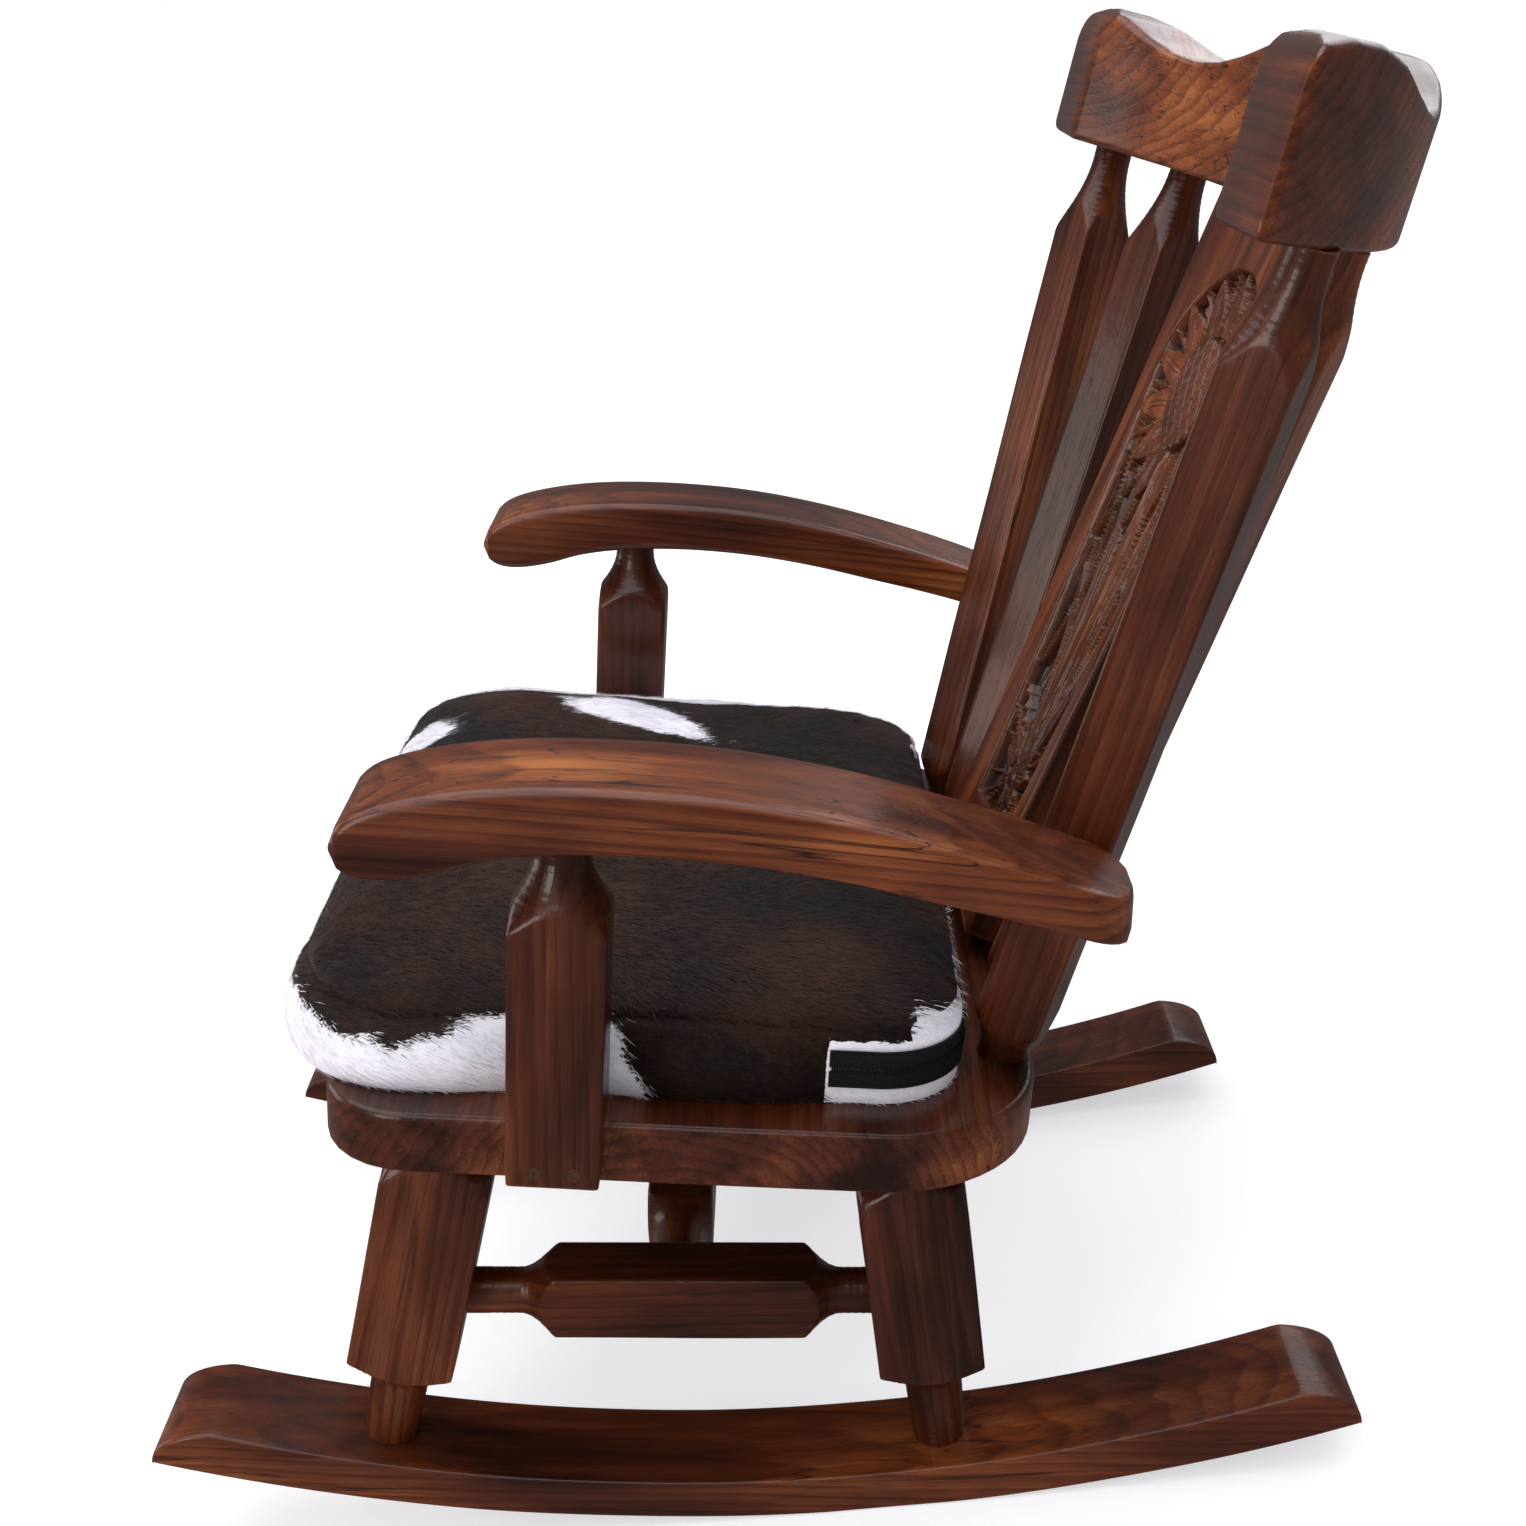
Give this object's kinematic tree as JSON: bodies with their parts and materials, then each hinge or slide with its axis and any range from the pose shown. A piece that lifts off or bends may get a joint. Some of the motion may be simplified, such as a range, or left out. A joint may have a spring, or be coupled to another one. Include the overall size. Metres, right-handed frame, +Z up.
{
  "type": "rocking chair",
  "caption": "Rustic solid-wood rocking chair with curved runners, broad arms, carved splat back, sawn crest rail and a loose zipped cowhide cushion.",
  "frame": {"origin": "on the floor under the middle of the chair", "axes": "+Z up, the chair faces -Y, +X is the sitter's left"},
  "size_m": [0.818, 0.9956, 0.9939],
  "materials": {
    "stained_wood": "solid wood, dark walnut stain with streaky grain under satin lacquer",
    "plug_wood": "stained end-grain plug",
    "screw_steel": "zinc-plated wood screw",
    "cowhide": "short-haired cowhide, near-black and dark brown with white patches",
    "foam": "resilient seat foam",
    "zip_tape": "black woven zip tape with a nylon coil",
    "zip_metal": "blackened die-cast zip slider"
  },
  "bodies": {
    "chair": {"rocker_left": "stained_wood", "rocker_right": "stained_wood", "arm_left": "stained_wood", "arm_right": "stained_wood", "arm_post_left": "stained_wood", "arm_post_right": "stained_wood", "back_post_outer_left": "stained_wood", "back_post_outer_right": "stained_wood", "back_post_inner_left": "stained_wood", "back_post_inner_right": "stained_wood", "stretcher_left": "stained_wood", "stretcher_right": "stained_wood", "leg_front_left": "stained_wood", "leg_front_right": "stained_wood", "leg_rear_left": "stained_wood", "leg_rear_right": "stained_wood", "cross_stretcher": "stained_wood", "seat_board": "stained_wood", "back_splat": "stained_wood", "crest_rail": "stained_wood", "arm_post_plug_front_left": "plug_wood", "arm_post_plug_front_right": "plug_wood", "arm_post_plug_rear_left": "plug_wood", "arm_post_plug_rear_right": "plug_wood", "arm_post_screw_front_left": "screw_steel", "arm_post_screw_front_right": "screw_steel", "arm_post_screw_rear_left": "screw_steel", "arm_post_screw_rear_right": "screw_steel"},
    "cushion": {"cushion_cover": "cowhide", "cushion_pad": "foam", "zip_tape_upper": "zip_tape", "zip_tape_lower": "zip_tape"},
    "zip_runner": {"zip_slider": "zip_metal", "zip_pull": "zip_metal"}
  },
  "joints": [
    {"name": "cushion_out", "type": "slide", "parent": "chair", "child": "cushion", "axis": [0, -0.9871, 0.1599], "range_m": [0, 0.5]},
    {"name": "zip_run", "type": "slide", "parent": "cushion", "child": "zip_runner", "axis": [1, 0, 0], "range_m": [0, 0.42]}
  ]
}
